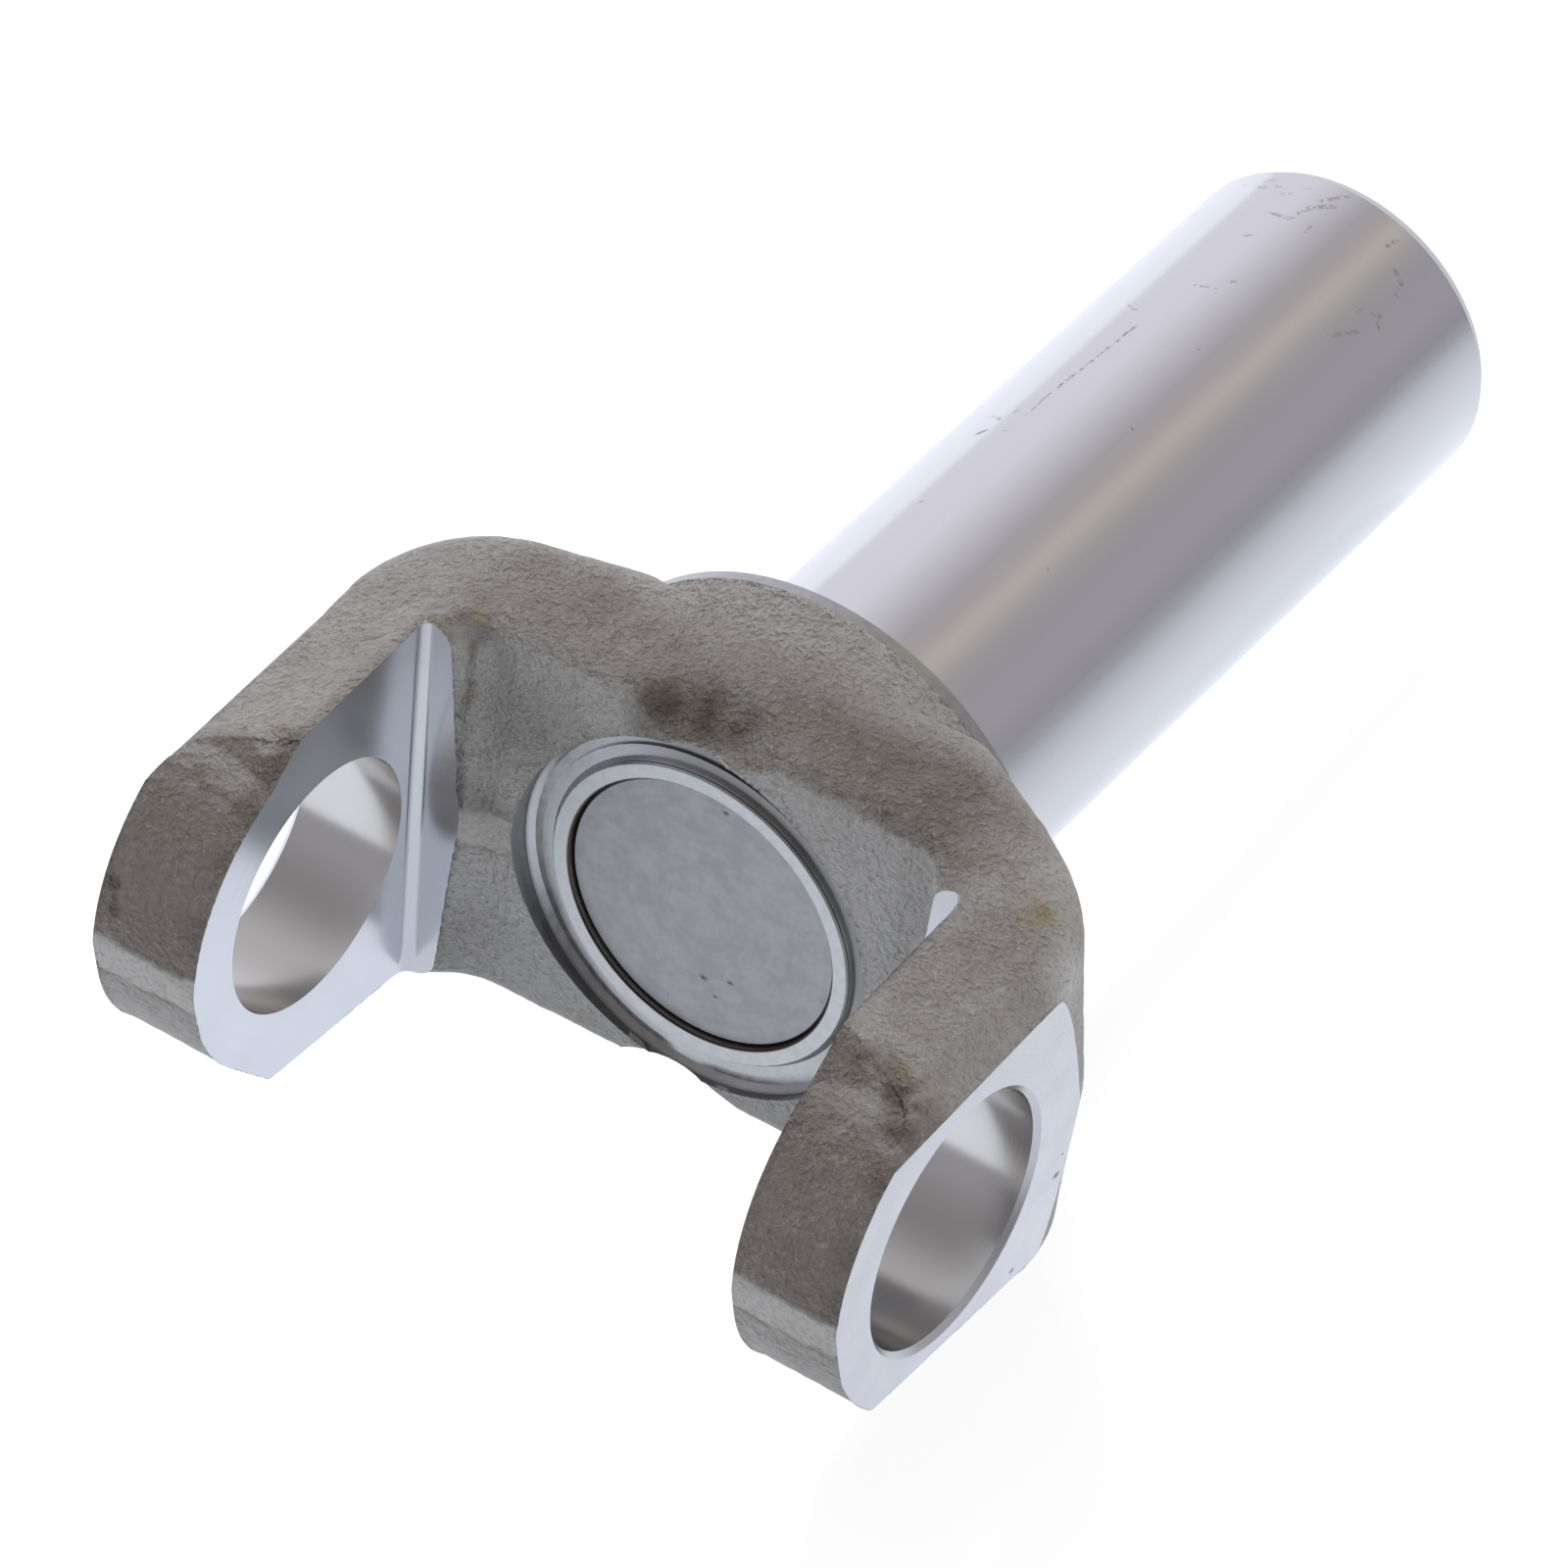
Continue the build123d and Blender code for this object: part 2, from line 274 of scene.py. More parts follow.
def skin_height(p, n):
    """How far the raw skin stands off its inset CAD surface, in millimetres."""
    z = p[2]
    flash = float(smooth(parting_z + 0.5, parting_z - 0.1, z + 0.25 * rough(p, 2.5, 3)))
    flash *= float(smooth(flash_low_z - 0.8, flash_low_z + 0.4, z))
    flash *= float(smooth(0.5, 0.3, abs(n[2])))
    waves = 0.11 * rough(p, 11, 1) + 0.06 * rough(p, 4.5, 2)
    grain = 0.05 * rough(p, 1.7, 4) + 0.035 * rough(p, 1.05, 5)
    height = waves * (1 - 0.6 * flash) + grain * (1 - 0.8 * flash) + 0.09 * flash
    pit = max(0.0, rough(p, 2.6, 8) - 0.52) * 0.5
    for place, reach, depth in die_hollows:
        height -= depth * float(near(p, place, reach))
    return height - pit * (1 - flash) - cove_depth * cove(p)


def cove(p):
    """1 along the upright coves beside the machined faces, 0 towards the saddle's middle."""
    x, y, z = p
    if y < ear_step_y - 0.5 or y > 24:
        return 0.0
    inward = smooth(cove_x - cove_width, cove_x - 0.4, abs(x)) * smooth(28.0, 27.0, abs(x))
    low = parting_z - 0.6 + 0.8 * rough(p, 2.0, 12)
    upward = smooth(low, low + 1.6, z) * smooth(cove_top_z, cove_top_z - 1.0, z)
    return float(inward * upward)


def uneven_skin(bm):
    """Moves the raw skin in and out a little. At a machined face it only slides along it."""
    bm.normal_update()
    moves = []
    for vert in bm.verts:
        kinds = {face.material_index for face in vert.link_faces}
        if SKIN not in kinds:
            continue
        skin_normal = Vector()
        for face in vert.link_faces:
            if face.material_index == SKIN:
                skin_normal += face.normal * face.calc_area()
        skin_normal.normalize()
        p = vert.co / MM
        move = skin_normal * (min(skin_height(p, skin_normal), skin_inset) - skin_inset)
        if len(kinds) > 1:
            cuts = [face.normal for face in vert.link_faces if face.material_index != SKIN]
            first = cuts[0]
            if any(first.dot(other) < 0.999 for other in cuts):
                continue
            move = (move - first * move.dot(first)) * border_slide
        moves.append((vert, move * MM))
    for vert, move in moves:
        vert.co += move


def machined_normal(kind, normal, place):
    """The true normal of a machined face at a facet's corner, or zero to leave it to the mesh."""
    x, y, z = place
    if kind in (MILLED, FACED) and max(abs(c) for c in normal) > 0.999:
        return tuple(normal)
    if kind == GROUND:
        return tuple(Vector((x, 0, z)).normalized())
    if kind == BORED:
        return tuple(Vector((0, -y, -z)).normalized())
    if kind == TURNED:
        if abs(normal[1]) > 0.999:
            return (0.0, math.copysign(1.0, normal[1]), 0.0)
        if abs(normal[1]) < 0.01:
            side = math.copysign(1.0, normal[0] * x + normal[2] * z)
            return tuple(Vector((x, 0, z)).normalized() * side)
    return (0.0, 0.0, 0.0)


def set_normals(mesh):
    """Gives the flat and round machined faces their exact normals."""
    normals = []
    for polygon in mesh.polygons:
        for index in polygon.vertices:
            place = mesh.vertices[index].co
            normals.append(machined_normal(polygon.material_index, polygon.normal, place))
    mesh.normals_split_custom_set(normals)


def spots_over(points, spots):
    """The strongest of some soft round spots at each point: place, reach and strength in each."""
    total = np.zeros(len(points))
    for place, reach, amount in spots:
        total = np.maximum(total, near(points, place, reach) * amount)
    return total


def crossbar_brown(p, n):
    """How brown the crossbar's top and front edge are, more so to the right."""
    middle = smooth(37.0, 25.0, np.abs(p[:, 0])) * smooth(36.0, 28.0, p[:, 1])
    facing = smooth(0.25, 0.7, n[:, 2]) * smooth(18.0, 21.0, p[:, 2])
    return middle * facing * (0.5 + 0.4 * smooth(-15.0, 22.0, p[:, 0]))


# dried oil and scale left in hollows and along edges, and painted shade in the crossbar's scoop and
# in the crease and notch at the tops of the ears: place, reach and strength, in millimetres
oil_and_shade_spots = (
    ((-7.0, 21.8, 23.0), 5.5, 1.0),
    ((-3.2, 23.4, 23.2), 6.0, 1.0),
    ((0.8, 24.0, 23.6), 4.0, 0.8),
    ((-7.5, 20.0, 21.3), 4.0, 0.7),
    ((-33.5, -4.5, 21.8), 3.2, 0.8),
    ((-31.0, 15.5, 24.0), 4.0, 0.5),
    ((-27.0, 18.5, 23.5), 3.5, 0.6),
    ((38.6, -5.4, 21.2), 2.8, 0.7),
    ((41.0, -7.0, 19.8), 3.4, 1.0),
    ((42.6, -9.4, 18.2), 3.2, 0.8),
    ((44.0, -13.5, 15.0), 3.2, 0.5),
    ((44.4, -17.5, 9.0), 3.4, 0.5),
    ((44.4, -20.0, 3.5), 2.6, 0.4),
    ((36.0, -6.0, 21.0), 3.0, 0.35),
    ((-33.6, -6.8, 20.4), 3.4, 0.6),
    ((-33.2, -11.0, 17.6), 3.4, 0.5),
    ((-33.2, -15.0, 13.0), 3.4, 0.45),
    ((-33.2, -18.5, 7.0), 3.0, 0.35),
    ((-29.4, 19.2, 24.2), 2.4, 0.5),
)

# browner skin elsewhere: place, reach and strength, in millimetres
brown_spots = (
    ((38.0, 14.0, 22.5), 12.0, 0.45),
    ((39.0, 2.0, 22.5), 11.0, 0.35),
    ((-21.0, 17.8, 14.0), 12.0, 0.5),
    ((-23.5, 17.8, 1.0), 6.5, 0.6),
)

# lighter skin, which is painted light: a painted reflection of the white surroundings on the right
# ear's outer shoulder, and painted light on the saddle and the upright strip beside the left ear
painted_light_spots = (
    ((24.0, 18.5, 8.0), 17.0, 0.5),
    ((-16.0, 17.8, -17.0), 15.0, 0.4),
    ((-27.5, 17.3, -9.0), 9.0, 0.5),
    ((-28.3, 17.6, 11.5), 5.0, 0.6),
    ((-28.3, 17.6, 19.0), 4.5, 0.45),
    ((44.6, 18.3, 18.0), 6.5, 1.0),
)

# yellowish dried residue
residue_spots = (
    ((40.1, -4.6, 21.4), 2.2, 1.0),
    ((-35.9, -3.0, 21.6), 1.6, 0.9),
    ((-33.7, -3.3, 22.1), 1.6, 0.8),
    ((38.9, 20.4, 22.7), 3.2, 0.9),
    ((-5.7, 18.5, -18.4), 2.4, 0.9),
    ((9.7, 18.5, -18.4), 2.2, 0.9),
    ((-31.0, 16.6, 24.0), 1.5, 0.8),
    ((-28.0, 20.0, 24.5), 2.0, 0.7),
    ((-12.0, 18.2, -21.5), 3.0, 0.8),
    ((-32.9, -1.0, 22.3), 2.0, 0.5),
    ((-32.9, 2.0, 22.6), 2.0, 0.5),
    ((-32.9, 5.0, 22.9), 2.0, 0.5),
    ((-32.9, 8.0, 23.2), 2.0, 0.5),
    ((-32.9, 11.0, 23.5), 2.0, 0.5),
    ((-32.9, 14.0, 23.8), 2.0, 0.5),
)


def paint(mesh):
    """Writes where the skin is trimmed, scaled, oily or in painted shade, brown, in painted light
    or stained, for its material.
    """
    co = np.empty(len(mesh.vertices) * 3)
    no = np.empty(len(mesh.vertices) * 3)
    mesh.vertices.foreach_get("co", co)
    mesh.vertices.foreach_get("normal", no)
    p = co.reshape(-1, 3) / MM
    n = no.reshape(-1, 3)
    ragged = np.array([rough(q, 2.2, 3) + 0.5 * rough(q, 0.8, 6) for q in p])
    band = smooth(parting_z + 0.25, parting_z - 0.15, p[:, 2] + 0.35 * ragged)
    band *= smooth(flash_low_z - 1.2, flash_low_z + 0.6, p[:, 2] + 0.5 * ragged)
    band *= smooth(0.55, 0.35, np.abs(n[:, 2]))
    below = smooth(parting_z + 0.3, parting_z - 0.3, p[:, 2] + 0.35 * ragged)
    ears = smooth(30.0, 33.0, np.abs(p[:, 0]))
    scale = ears * smooth(-2.0, -6.0, p[:, 1]) * (1 - below) * smooth(0.97, 0.8, n[:, 2])
    saddle = smooth(32.0, 29.0, np.abs(p[:, 0])) * smooth(-0.3, -0.8, n[:, 1])
    below *= 1 - 0.8 * saddle * smooth(-16.0, -10.0, p[:, 2])
    brown = np.maximum(crossbar_brown(p, n), spots_over(p, brown_spots))
    layers = {
        "flash": band,
        "scale": scale,
        "below": below,
        "saddle": saddle,
        "oil_and_shade": np.clip(spots_over(p, oil_and_shade_spots) * (0.95 + 0.3 * ragged), 0, 1),
        "brown": np.clip(brown * (0.95 + 0.2 * ragged), 0, 1),
        "painted_light": np.clip(spots_over(p, painted_light_spots) * (0.95 + 0.15 * ragged), 0, 1),
        "residue": np.clip(spots_over(p, residue_spots) * (0.5 + 1.2 * ragged), 0, 1),
    }
    for name, values in layers.items():
        layer = mesh.attributes.new(name, "FLOAT", "POINT")
        layer.data.foreach_set("value", np.asarray(values, np.float32))


def visible_forging(node):
    """Shows the forging with its skin, in the CAD forging's place."""
    bm = marked_mesh(node)
    refine_skin(bm, skin_edge * MM, skin_merge * MM)
    uneven_skin(bm)
    mesh = bpy.data.meshes.new("yoke_body")
    bm.to_mesh(mesh)
    bm.free()
    paint(mesh)
    finishes = (
        forged_skin(),
        milled_face(),
        faced_inside(),
        bored_steel(),
        ground_steel(),
        turned_steel(),
        broached_steel(),
        edge_steel(),
    )
    for finish in finishes:
        mesh.materials.append(finish)
    set_normals(mesh)
    body = bpy.data.objects.new("yoke_body", mesh)
    bpy.context.scene.collection.objects.link(body)
    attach(body, "root")
    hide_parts(node.name)


# materials


def colour(red, green, blue):
    return (red, green, blue, 1.0)


class Nodes:
    """Short names for the shader nodes that the materials, the floor and the studio use."""

    def __init__(self, tree):
        self.tree = tree

    def node(self, kind, **settings):
        made = self.tree.nodes.new("ShaderNode" + kind)
        for name, value in settings.items():
            setattr(made, name, value)
        return made

    def feed(self, socket, value):
        """Connects a socket, or sets its value."""
        if isinstance(value, bpy.types.NodeSocket):
            self.tree.links.new(value, socket)
        else:
            socket.default_value = value

    def math(self, operation, a, b=0.0):
        made = self.node("Math", operation=operation)
        self.feed(made.inputs[0], a)
        self.feed(made.inputs[1], b)
        return made.outputs[0]

    def length(self, a, b):
        """The length of a flat vector with two parts."""
        squares = self.math("ADD", self.math("MULTIPLY", a, a), self.math("MULTIPLY", b, b))
        return self.math("SQRT", squares)

    def pair(self, operation, a, b, output=0):
        """One operation on two vectors; output 1 is its number."""
        made = self.node("VectorMath", operation=operation)
        self.feed(made.inputs[0], a)
        self.feed(made.inputs[1], b)
        return made.outputs[output]

    def scale(self, vector, factor):
        made = self.node("VectorMath", operation="SCALE")
        self.feed(made.inputs[0], vector)
        self.feed(made.inputs["Scale"], factor)
        return made.outputs[0]

    def axes(self, vector):
        made = self.node("SeparateXYZ")
        self.feed(made.inputs[0], vector)
        return made.outputs

    def vector(self, x, y, z):
        made = self.node("CombineXYZ")
        for socket, value in zip(made.inputs, (x, y, z)):
            self.feed(socket, value)
        return made.outputs[0]

    def range(self, value, low, high, to_low=0.0, to_high=1.0):
        """A smooth step from to_low at low to to_high at high; high may be the smaller."""
        made = self.node("MapRange", interpolation_type="SMOOTHSTEP")
        for socket, number in zip(made.inputs, (value, low, high, to_low, to_high)):
            self.feed(socket, number)
        return made.outputs[0]

    def mix(self, factor, a, b):
        """Colour a where the factor is 0 and b where it is 1."""
        made = self.node("Mix", data_type="RGBA")
        self.feed(made.inputs[0], factor)
        self.feed(made.inputs[6], a)
        self.feed(made.inputs[7], b)
        return made.outputs[2]


class Finish(Nodes):
    """A material of the part, painted in the part's own coordinates."""

    def __init__(self, name):
        self.material = bpy.data.materials.new(name)
        self.material.use_nodes = True
        super().__init__(self.material.node_tree)
        self.shader = self.tree.nodes["Principled BSDF"]
        self.place = self.node("TexCoord").outputs["Object"]

    def set(self, **values):
        """Sets or connects the shader's own sockets, named with underscores."""
        for name, value in values.items():
            self.feed(self.shader.inputs[name.replace("_", " ")], value)

    def noise(self, size, detail=2.0, vector=None, roughness=0.5):
        """Noise from 0 to 1 with features of about size millimetres."""
        made = self.node("TexNoise")
        self.feed(made.inputs["Vector"], vector or self.place)
        made.inputs["Scale"].default_value = 1 / (size * MM)
        made.inputs["Detail"].default_value = detail
        made.inputs["Roughness"].default_value = roughness
        return made.outputs["Fac"]

    def attribute(self, name):
        return self.node("Attribute", attribute_name=name).outputs["Fac"]

    def bump(self, height, distance):
        """A shading normal for a height from 0 to 1 over a distance in millimetres."""
        made = self.node("Bump")
        made.inputs["Distance"].default_value = distance * MM
        made.inputs["Strength"].default_value = 1.0
        self.feed(made.inputs["Height"], height)
        return made.outputs[0]

    def spot(self, centre, reach, stretch=(1, 1, 1)):
        """1 at a place in millimetres, falling to 0 at the reach."""
        squeezed = tuple(1 / s for s in stretch)
        middle = [c * MM * q for c, q in zip(centre, squeezed)]
        away = self.pair("DISTANCE", self.pair("MULTIPLY", self.place, squeezed), middle, 1)
        return self.range(away, reach * MM, 0.0)

    def stroke(self, place, start, end, width):
        """1 along a line between two points of a plane, falling to 0 at its width."""
        start = Vector((*start, 0)) * MM
        along = Vector((*end, 0)) * MM - start
        offset = self.pair("SUBTRACT", place, start)
        share = self.pair("DOT_PRODUCT", offset, along / along.length_squared, 1)
        share = self.math("MINIMUM", self.math("MAXIMUM", share, 0.0), 1.0)
        away = self.pair("DISTANCE", offset, self.scale(along, share), 1)
        return self.range(away, width * MM, width * 0.4 * MM)


# small dents in the skin of the left ear: place and size, in millimetres
small_dents = (
    ((-43.8, -19.3, 7.9), 0.9),
    ((-43.1, -19.8, 6.7), 0.6),
    ((-43.0, -20.2, 5.3), 0.9),
)


def forged_skin():
    """Shot-blasted forging: warm grey, pebbled, browner where scale and oil were left, with painted
    shade and painted highlight on the pebbling, painted shade in the scoop and creases, and painted
    light on some faces.
    """
    g = Finish("forged_skin")
    flash = g.attribute("flash")
    cloud = g.range(g.noise(6, 3), 0.3, 0.7)
    pebble = g.noise(0.6, 3, roughness=0.6)
    lumps = g.noise(1.7, 2)
    dents = 0.0
    for place, size in small_dents:
        dents = g.math("MAXIMUM", g.spot(place, size), dents)
    tone = g.mix(cloud, colour(0.365, 0.344, 0.324), colour(0.425, 0.41, 0.394))
    tone = g.mix(g.math("MULTIPLY", g.attribute("saddle"), 0.8), tone, colour(0.58, 0.58, 0.57))
    tone = g.mix(g.math("MULTIPLY", g.attribute("brown"), 0.85), tone, colour(0.125, 0.1, 0.082))
    tone = g.mix(g.math("MULTIPLY", g.attribute("scale"), 0.8), tone, colour(0.205, 0.174, 0.156))
    tone = g.mix(g.math("MULTIPLY", g.attribute("below"), 0.6), tone, colour(0.41, 0.403, 0.396))
    # painted light and a painted reflection: lighter on the shoulder, the saddle and the strip
    # listed above
    tone = g.mix(g.math("MULTIPLY", g.attribute("painted_light"), 0.7), tone, colour(0.63, 0.63, 0.635))
    tone = g.mix(g.math("MULTIPLY", flash, 0.6), tone, colour(0.43, 0.425, 0.41))
    # painted shade in the dents of the pebbling and painted highlight on its tops, from the same
    # noise as its bump
    tone = g.mix(g.range(pebble, 0.5, 0.36, 0.0, 0.17), tone, colour(0.1, 0.085, 0.07))
    tone = g.mix(g.range(pebble, 0.57, 0.68, 0.0, 0.2), tone, colour(0.6, 0.585, 0.57))
    # dried oil, and painted shade in the scoop and in the creases at the ears' tops
    tone = g.mix(g.math("MULTIPLY", g.attribute("oil_and_shade"), 0.85), tone, colour(0.07, 0.05, 0.03))
    tone = g.mix(g.math("MULTIPLY", g.attribute("residue"), 0.7), tone, colour(0.3, 0.24, 0.1))
    relief = g.math("ADD", pebble, lumps)
    relief = g.math("SUBTRACT", relief, g.math("MULTIPLY", dents, 0.8))
    depth = g.math("MULTIPLY", relief, g.range(flash, 0.0, 1.0, 1.0, 0.4))
    g.set(
        Base_Color=tone,
        Metallic=0.35,
        Roughness=g.range(pebble, 0.3, 0.7, 0.55, 0.42),
        Normal=g.bump(depth, 1.4),
    )
    return g.material


def around(g, across, along):
    """Rings about an axis: noise that changes with the distance from it and hardly around it."""
    return g.vector(g.length(*across), g.math("MULTIPLY", along, 0.02), 0.0)


# small dark nicks in the outside of the right ear: place and size, in millimetres
face_nicks = (
    ((45.0, 18.8, -7.9), 0.7),
    ((45.0, 11.9, -15.9), 0.5),
    ((45.0, 19.6, -5.6), 0.3),
)


def milled_face():
    """The outside of each ear, faced flat: bright, with faint arcs of the cutter."""
    g = Finish("milled_face")
    x, y, z = g.axes(g.place)
    rings = g.noise(0.22, 1, vector=around(g, (y, z), x))
    cloud = g.noise(5, 2)
    tone = g.mix(g.range(cloud, 0.3, 0.7), colour(0.83, 0.83, 0.88), colour(0.88, 0.88, 0.92))
    for place, size in face_nicks:
        tone = g.mix(g.spot(place, size, (1, 1.4, 0.8)), tone, colour(0.2, 0.18, 0.16))
    g.set(
        Base_Color=tone,
        Metallic=1.0,
        Roughness=g.range(rings, 0.2, 0.8, 0.26, 0.36),
        Normal=g.bump(rings, 0.004),
    )
    return g.material


def faced_inside():
    """The inside of each ear, faced: arcs of the cutter about the bore, with painted shade towards
    the top and in the corner at the root.
    """
    g = Finish("faced_inside")
    x, y, z = g.axes(g.place)
    rings = g.noise(0.12, 1, vector=around(g, (y, z), x))
    cloud = g.noise(9, 2)
    tone = g.mix(g.range(cloud, 0.3, 0.7), colour(0.64, 0.65, 0.69), colour(0.67, 0.68, 0.72))
    # painted shade: darker towards the top of the face
    tone = g.mix(g.range(z, 12 * MM, 24 * MM, 0.0, 0.35), tone, colour(0.35, 0.345, 0.34))
    # painted shade in the corner at the root, by the step
    root = g.range(y, (ear_step_y - 1.6) * MM, (ear_step_y - 0.6) * MM, 0.0, 0.45)
    tone = g.mix(root, tone, colour(0.4, 0.4, 0.41))
    g.set(
        Base_Color=tone,
        Metallic=1.0,
        Roughness=g.range(rings, 0.2, 0.8, 0.2, 0.26),
        Normal=g.bump(rings, 0.0008),
    )
    return g.material


def bored_steel():
    """The cross bores: fine feed lines around the bore."""
    g = Finish("bored_steel")
    along = g.axes(g.place)[0]
    lines = g.noise(0.16, 1, vector=g.vector(along, 0.0, 0.0))
    g.set(
        Base_Color=colour(0.62, 0.605, 0.59),
        Metallic=1.0,
        Roughness=g.range(lines, 0.2, 0.8, 0.16, 0.22),
        Normal=g.bump(lines, 0.0008),
    )
    return g.material


# marks on the barrel: both ends as distance round it from the top and along it, width, strength
barrel_marks = (
    ((-7.0, 87.5), (-6.8, 93.5), 0.2, 0.7),
    ((-6.8, 93.7), (-6.2, 100.0), 0.24, 0.9),
    ((-6.2, 100.0), (-5.6, 106.3), 0.28, 0.8),
    ((-7.4, 84.1), (-7.0, 85.6), 0.22, 0.7),
    ((-10.7, 83.4), (-9.9, 84.2), 0.4, 0.8),
    ((-11.9, 87.2), (-9.5, 86.4), 0.3, 0.6),
    ((-8.9, 87.7), (-8.7, 88.2), 0.3, 0.6),
    ((-9.2, 110.0), (-7.6, 109.2), 0.3, 0.7),
    ((-4.3, 115.2), (-2.0, 115.8), 0.25, 0.6),
    ((-1.4, 117.6), (-0.6, 118.4), 0.3, 0.5),
    ((-4.5, 125.6), (-3.7, 126.4), 0.3, 0.5),
    ((-4.6, 130.4), (-2.1, 130.6), 0.35, 0.6),
    ((-2.1, 131.3), (-1.1, 133.6), 0.35, 0.5),
    ((-1.4, 133.4), (0.5, 135.0), 0.5, 0.6),
    ((0.4, 129.4), (0.4, 130.7), 0.3, 0.4),
    ((-1.2, 134.8), (0.8, 137.5), 0.4, 0.5),
    ((-11.7, 135.3), (-11.2, 135.9), 0.3, 0.4),
    ((-9.0, 135.0), (-6.7, 135.5), 0.5, 0.5),
    ((-8.9, 136.2), (-8.1, 136.6), 0.4, 0.5),
    ((-5.5, 134.3), (-4.4, 134.6), 0.3, 0.5),
    ((-4.2, 135.9), (-3.2, 136.6), 0.3, 0.5),
    ((-17.6, 131.0), (-15.1, 131.1), 0.4, 0.6),
    ((7.7, 134.8), (8.0, 136.0), 0.4, 0.5),
    ((10.3, 133.1), (11.8, 132.5), 0.35, 0.5),
    ((11.7, 131.4), (12.4, 130.9), 0.3, 0.4),
    ((11.8, 126.6), (13.0, 127.1), 0.35, 0.5),
    ((13.0, 127.1), (13.4, 125.9), 0.35, 0.5),
    ((10.4, 119.5), (12.2, 123.1), 0.4, 0.35),
    ((10.7, 125.0), (10.9, 126.0), 0.3, 0.3),
    ((3.5, 91.5), (3.6, 91.6), 0.3, 0.9),
    ((8.2, 69.3), (8.3, 69.3), 0.25, 0.8),
    ((2.0, 106.4), (2.1, 106.4), 0.22, 0.5),
    ((-8.2, 69.7), (-8.1, 69.8), 0.35, 0.7),
)


def ground_steel():
    """The barrel: ground bright, with hair lines around it, scratches, scuffs and dark dots."""
    g = Finish("ground_steel")
    x, y, z = g.axes(g.place)
    lines = g.noise(0.12, 2, vector=g.vector(y, 0.0, 0.0))
    broken = g.range(g.noise(0.6, 3), 0.4, 0.6)
    wander = g.math("MULTIPLY", g.math("SUBTRACT", g.noise(1.2, 3), 0.5), 0.9 * MM)
    round_it = g.math("MULTIPLY", g.math("ARCTAN2", x, z), barrel_r * MM)
    unrolled = g.vector(g.math("ADD", round_it, wander), g.math("ADD", y, wander), 0.0)
    rub = 0.0
    for start, end, width, strength in barrel_marks:
        mark = g.math("MULTIPLY", g.stroke(unrolled, start, end, width), strength)
        rub = g.math("MAXIMUM", mark, rub)
    rub = g.math("MULTIPLY", rub, broken)
    tone = g.mix(rub, colour(0.72, 0.71, 0.74), colour(0.33, 0.29, 0.24))
    g.set(
        Base_Color=tone,
        Metallic=1.0,
        Roughness=g.range(rub, 0.0, 1.0, 0.15, 0.4),
        Normal=g.bump(lines, 0.0015),
    )
    return g.material


def turned_steel():
    """Turned faces about the barrel's axis: the pocket, the collar, the hub's rim and back, with
    painted shade in the pocket.
    """
    g = Finish("turned_steel")
    x, y, z = g.axes(g.place)
    rings = g.noise(0.2, 2, vector=around(g, (x, z), y))
    smudge = g.noise(1.2, 3)
    brushed = g.noise(0.3, 2, vector=g.pair("MULTIPLY", g.place, (1.0, 0.3, 0.35)))
    from_axis = g.length(x, z)
    tone = g.mix(g.range(smudge, 0.35, 0.65), colour(0.45, 0.45, 0.455), colour(0.51, 0.51, 0.515))
    in_front = g.range(y, 24 * MM, 26 * MM, 1.0, 0.0)
    aside = g.range(g.math("ADD", x, z), 0.0, 20 * MM, 0.1)
    beyond = g.range(from_axis, 18.0 * MM, 18.3 * MM)
    behind = g.range(y, 20.4 * MM, 20.6 * MM)
    collar = g.math("MULTIPLY", beyond, behind)
    # painted shade in the pocket beyond the collar, darkest towards the upper right, where the
    # pocket's wall shades it
    oil_film_and_shade = g.math("MULTIPLY", g.math("MULTIPLY", aside, collar), g.math("MULTIPLY", in_front, 0.75))
    tone = g.mix(oil_film_and_shade, tone, colour(0.14, 0.135, 0.13))
    # painted shade on the pocket's outer wall
    pocket_wall_shade = g.math("MULTIPLY", g.range(from_axis, 21.35 * MM, 21.5 * MM, 0.0, 0.5), in_front)
    tone = g.mix(pocket_wall_shade, tone, colour(0.2, 0.195, 0.195))
    seat = g.range(from_axis, (plug_r + 0.3) * MM, (plug_r + 0.1) * MM)
    tone = g.mix(g.math("MULTIPLY", seat, in_front), tone, colour(0.05, 0.04, 0.032))
    g.set(
        Base_Color=tone,
        Metallic=1.0,
        Roughness=g.range(smudge, 0.3, 0.7, 0.27, 0.36),
        Normal=g.bump(g.math("ADD", rings, brushed), 0.006),
    )
    return g.material


def broached_steel():
    """The splined hole: cut steel with a film of oil."""
    g = Finish("broached_steel")
    oil_film_and_shade = g.noise(3, 2)
    g.set(
        Base_Color=g.mix(oil_film_and_shade, colour(0.42, 0.4, 0.37), colour(0.55, 0.54, 0.53)),
        Metallic=1.0,
        Roughness=0.3,
    )
    return g.material


def edge_steel():
    """Narrow edge breaks, which catch the light."""
    g = Finish("edge_steel")
    g.set(Base_Color=colour(0.74, 0.74, 0.77), Metallic=1.0, Roughness=0.3)
    return g.material


# pits in the plug that stand out: place and size, in millimetres
plug_pits = (
    ((1.8, 21.0, 14.5), 0.5),
    ((0.7, 21.0, -8.6), 0.6),
    ((3.9, 21.0, -7.5), 0.5),
    ((2.3, 21.0, -10.3), 0.35),
)


